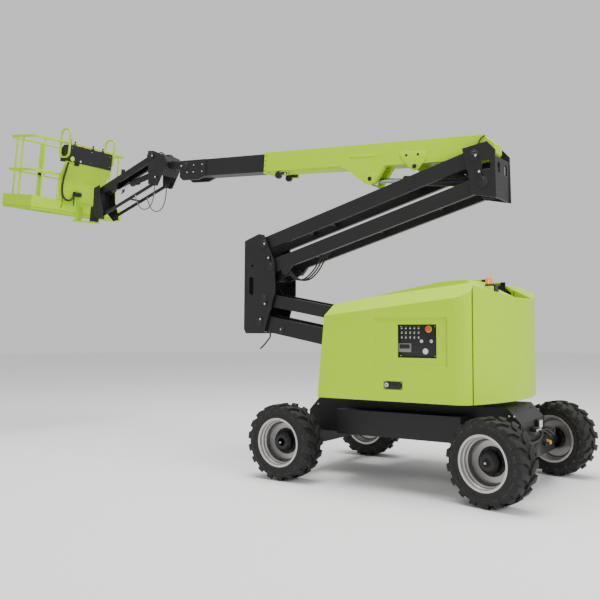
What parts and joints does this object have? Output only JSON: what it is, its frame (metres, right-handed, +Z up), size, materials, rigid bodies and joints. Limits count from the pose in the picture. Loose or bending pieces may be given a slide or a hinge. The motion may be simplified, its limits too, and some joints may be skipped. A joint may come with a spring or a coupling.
{
  "type": "articulating boom lift",
  "caption": "Self-propelled work platform: a wheeled chassis, slewing turntable, folding risers, telescoping boom and jib carry a guarded platform.",
  "frame": {"origin": "on the ground under the middle of the machine's overall length and width, as it stands in the picture", "axes": "+X towards the platform end, +Y towards the side with the ground controls, +Z up"},
  "size_m": [8.4813, 2.4502, 4.8415],
  "materials": {
    "amber_lens": "gloss",
    "black_paint": "satin",
    "black_plastic": "matte",
    "chrome_rod": "polished",
    "engine_iron": "matte",
    "hose_rubber": "matte",
    "lime_paint": "satin",
    "rim_paint": "satin",
    "tyre_rubber": "matte"
  },
  "bodies": {
    "chassis": {"chassis_frame": "black_paint", "slew_ring": "black_paint", "drive_axle": "black_paint", "steer_axle": "black_paint"},
    "steering_rod": {"steering_rod": "chrome_rod"},
    "steer_knuckle_near": {"steer_knuckle_near": "black_paint"},
    "steer_knuckle_far": {"steer_knuckle_far": "black_paint"},
    "wheel_front_near": {"tyre_front_near": "tyre_rubber", "rim_front_near": "rim_paint"},
    "wheel_front_far": {"tyre_front_far": "tyre_rubber", "rim_front_far": "rim_paint"},
    "wheel_rear_near": {"tyre_rear_near": "tyre_rubber", "rim_rear_near": "rim_paint"},
    "wheel_rear_far": {"tyre_rear_far": "tyre_rubber", "rim_rear_far": "rim_paint"},
    "turntable": {"turntable_frame": "black_paint", "counterweight": "lime_paint", "engine_block": "engine_iron", "fluid_tank": "black_paint", "control_panel": "black_plastic", "beacon": "amber_lens"},
    "hood_near": {"hood_near": "lime_paint"},
    "hood_far": {"hood_far": "lime_paint"},
    "lower_riser_low": {"lower_riser_low_link": "black_paint"},
    "lower_riser_top": {"lower_riser_top_link": "black_paint"},
    "lower_knuckle": {"lower_knuckle": "black_paint"},
    "upper_riser_low": {"upper_riser_low_link": "black_paint"},
    "upper_riser_top": {"upper_riser_top_link": "black_paint"},
    "upper_knuckle": {"upper_knuckle": "black_paint"},
    "timing_link": {"timing_link": "black_paint"},
    "riser_barrel": {"riser_cylinder_barrel": "black_paint"},
    "riser_rod": {"riser_cylinder_rod": "chrome_rod"},
    "main_boom": {"main_boom": "lime_paint"},
    "boom_barrel": {"boom_cylinder_barrel": "black_paint"},
    "boom_rod": {"boom_cylinder_rod": "chrome_rod"},
    "fly_boom": {"fly_boom": "black_paint"},
    "jib_knuckle": {"jib_knuckle": "black_paint"},
    "jib_arm": {"jib_arm": "black_paint"},
    "jib_tie": {"jib_tie": "black_paint", "hose_near": "hose_rubber", "hose_far": "hose_rubber"},
    "jib_barrel": {"jib_cylinder_barrel": "black_paint"},
    "jib_rod": {"jib_cylinder_rod": "chrome_rod"},
    "jib_end": {"jib_end_bracket": "black_paint", "rotator": "black_paint"},
    "platform_gate": {"platform_gate": "lime_paint"},
    "platform": {"platform_floor": "lime_paint", "platform_rails": "lime_paint", "console_panel": "lime_paint", "console_box": "black_plastic"}
  },
  "joints": [
    {"name": "slew", "type": "hinge", "parent": "chassis", "child": "turntable", "pos_m": [-2.5321, 0, 0.88], "axis": [0, 0, 1], "range_deg": [-177.5, 177.5]},
    {"name": "steer", "type": "hinge", "parent": "chassis", "child": "steer_knuckle_near", "pos_m": [-3.7541, 0.8, 0.427], "axis": [0, 0, 1], "range_deg": [-21.9, 48.1]},
    {"name": "wheel_front_near", "type": "hinge", "parent": "chassis", "child": "wheel_front_near", "pos_m": [-1.3101, 0.995, 0.427], "axis": [0, 1, 0], "continuous": true},
    {"name": "wheel_rear_near", "type": "hinge", "parent": "steer_knuckle_near", "child": "wheel_rear_near", "pos_m": [-3.7541, 0.8, 0.427], "axis": [0.2267, 0.974, 0], "continuous": true},
    {"name": "steer_far", "type": "hinge", "parent": "chassis", "child": "steer_knuckle_far", "pos_m": [-3.7541, -0.8, 0.427], "axis": [0, 0, 1], "range_deg": [-21.91, 48.11]},
    {"name": "wheel_front_far", "type": "hinge", "parent": "chassis", "child": "wheel_front_far", "pos_m": [-1.3101, -0.995, 0.427], "axis": [0, 1, 0], "continuous": true},
    {"name": "wheel_rear_far", "type": "hinge", "parent": "steer_knuckle_far", "child": "wheel_rear_far", "pos_m": [-3.7541, -0.8, 0.427], "axis": [0.2267, 0.974, 0], "continuous": true},
    {"name": "steering_rod_slide", "type": "slide", "parent": "chassis", "child": "steering_rod", "axis": [0, 1, 0], "range_m": [-0.06342, 0.13691]},
    {"name": "hood_near_hinge", "type": "hinge", "parent": "turntable", "child": "hood_near", "pos_m": [-3.4321, 0.296, 2.205], "axis": [1, 0, 0], "range_deg": [0, 60]},
    {"name": "hood_far_hinge", "type": "hinge", "parent": "turntable", "child": "hood_far", "pos_m": [-3.4321, -0.296, 2.205], "axis": [-1, 0, 0], "range_deg": [0, 60]},
    {"name": "riser_lift", "type": "hinge", "parent": "turntable", "child": "lower_riser_low", "pos_m": [-3.2121, 0, 1.25], "axis": [0, -1, 0], "range_deg": [-12, 45]},
    {"name": "lower_riser_parallel", "type": "hinge", "parent": "turntable", "child": "lower_riser_top", "pos_m": [-3.2821, 0, 1.55], "axis": [0, -1, 0], "range_deg": [-12.01, 45.01]},
    {"name": "lower_knuckle_level", "type": "hinge", "parent": "lower_riser_low", "child": "lower_knuckle", "pos_m": [-0.3621, 0, 1.78], "axis": [0, -1, 0], "range_deg": [-45.01, 12.01]},
    {"name": "upper_riser_lift", "type": "hinge", "parent": "lower_knuckle", "child": "upper_riser_low", "pos_m": [-0.5321, 0, 2.5], "axis": [0, 1, 0], "range_deg": [-14.41, 54.01]},
    {"name": "upper_riser_parallel", "type": "hinge", "parent": "lower_knuckle", "child": "upper_riser_top", "pos_m": [-0.4321, 0, 2.8], "axis": [0, 1, 0], "range_deg": [-14.41, 54.01]},
    {"name": "upper_knuckle_level", "type": "hinge", "parent": "upper_riser_low", "child": "upper_knuckle", "pos_m": [-3.3821, 0, 3.27], "axis": [0, 1, 0], "range_deg": [-54.01, 14.41]},
    {"name": "timing_link_swing", "type": "hinge", "parent": "upper_riser_low", "child": "timing_link", "pos_m": [-0.7321, 0, 2.43], "axis": [0, -1, 0], "range_deg": [-7.6, 28.48]},
    {"name": "riser_cylinder_swing", "type": "hinge", "parent": "turntable", "child": "riser_barrel", "pos_m": [-2.9821, 0, 1.08], "axis": [0, -1, 0], "range_deg": [-12.5, 46.85]},
    {"name": "riser_rod_slide", "type": "slide", "parent": "riser_barrel", "child": "riser_rod", "axis": [0.9619, 0, 0.2733], "range_m": [-0.05544, 0.20241]},
    {"name": "boom_lift", "type": "hinge", "parent": "upper_knuckle", "child": "main_boom", "pos_m": [-3.3921, 0, 3.66], "axis": [0, -1, 0], "range_deg": [-1.5, 70]},
    {"name": "boom_cylinder_swing", "type": "hinge", "parent": "upper_knuckle", "child": "boom_barrel", "pos_m": [-3.2321, 0, 3.33], "axis": [0, -1, 0], "range_deg": [-1.45, 67.44]},
    {"name": "boom_rod_slide", "type": "slide", "parent": "boom_barrel", "child": "boom_rod", "axis": [0.9924, 0, 0.1233], "range_m": [-0.01096, 0.42016]},
    {"name": "telescope", "type": "slide", "parent": "main_boom", "child": "fly_boom", "axis": [0.9977, 0, 0.0671], "range_m": [-0.85, 0.85]},
    {"name": "jib_level", "type": "hinge", "parent": "fly_boom", "child": "jib_knuckle", "pos_m": [1.0569, 0, 4.026], "axis": [0, -1, 0], "range_deg": [-70.01, 1.51]},
    {"name": "jib_lift", "type": "hinge", "parent": "jib_knuckle", "child": "jib_arm", "pos_m": [1.7179, 0, 4.25], "axis": [0, -1, 0], "range_deg": [-46, 78]},
    {"name": "jib_parallel", "type": "hinge", "parent": "jib_knuckle", "child": "jib_tie", "pos_m": [1.6179, 0, 3.86], "axis": [0, -1, 0], "range_deg": [-46.01, 78.01]},
    {"name": "jib_end_level", "type": "hinge", "parent": "jib_arm", "child": "jib_end", "pos_m": [2.8879, 0, 3.86], "axis": [0, -1, 0], "range_deg": [-78.01, 46.01]},
    {"name": "jib_cylinder_swing", "type": "hinge", "parent": "jib_knuckle", "child": "jib_barrel", "pos_m": [1.6479, 0, 4.055], "axis": [0, -1, 0], "range_deg": [-42.87, 72.68]},
    {"name": "jib_rod_slide", "type": "slide", "parent": "jib_barrel", "child": "jib_rod", "axis": [0.978, 0, -0.2085], "range_m": [-0.13591, 0.22907]},
    {"name": "gate_swing", "type": "hinge", "parent": "platform", "child": "platform_gate", "pos_m": [4.22386, -0.3, 3.67862], "axis": [-0.1392, 0, 0.9903], "range_deg": [0, 75]},
    {"name": "platform_turn", "type": "hinge", "parent": "jib_end", "child": "platform", "pos_m": [3.11674, 0, 3.52303], "axis": [-0.1392, 0, 0.9903], "range_deg": [-90, 90]}
  ],
  "couplings": [
    {"joint": "steer_far", "follows": "steer", "ratio": 1},
    {"joint": "steering_rod_slide", "follows": "steer", "m_per_rad": 0.1607},
    {"joint": "lower_riser_parallel", "follows": "riser_lift", "ratio": 1},
    {"joint": "lower_knuckle_level", "follows": "riser_lift", "ratio": -1},
    {"joint": "upper_riser_lift", "follows": "riser_lift", "ratio": 1.2},
    {"joint": "upper_riser_parallel", "follows": "riser_lift", "ratio": 1.2},
    {"joint": "upper_knuckle_level", "follows": "riser_lift", "ratio": -1.2},
    {"joint": "timing_link_swing", "follows": "riser_lift", "ratio": 0.63257},
    {"joint": "riser_cylinder_swing", "follows": "riser_lift", "ratio": 1.0409},
    {"joint": "riser_rod_slide", "follows": "riser_lift", "m_per_rad": 0.25517},
    {"joint": "boom_cylinder_swing", "follows": "boom_lift", "ratio": 0.96324},
    {"joint": "boom_rod_slide", "follows": "boom_lift", "m_per_rad": 0.34226},
    {"joint": "jib_level", "follows": "boom_lift", "ratio": -1},
    {"joint": "jib_parallel", "follows": "jib_lift", "ratio": 1},
    {"joint": "jib_end_level", "follows": "jib_lift", "ratio": -1},
    {"joint": "jib_cylinder_swing", "follows": "jib_lift", "ratio": 0.93169},
    {"joint": "jib_rod_slide", "follows": "jib_lift", "m_per_rad": 0.1668}
  ]
}
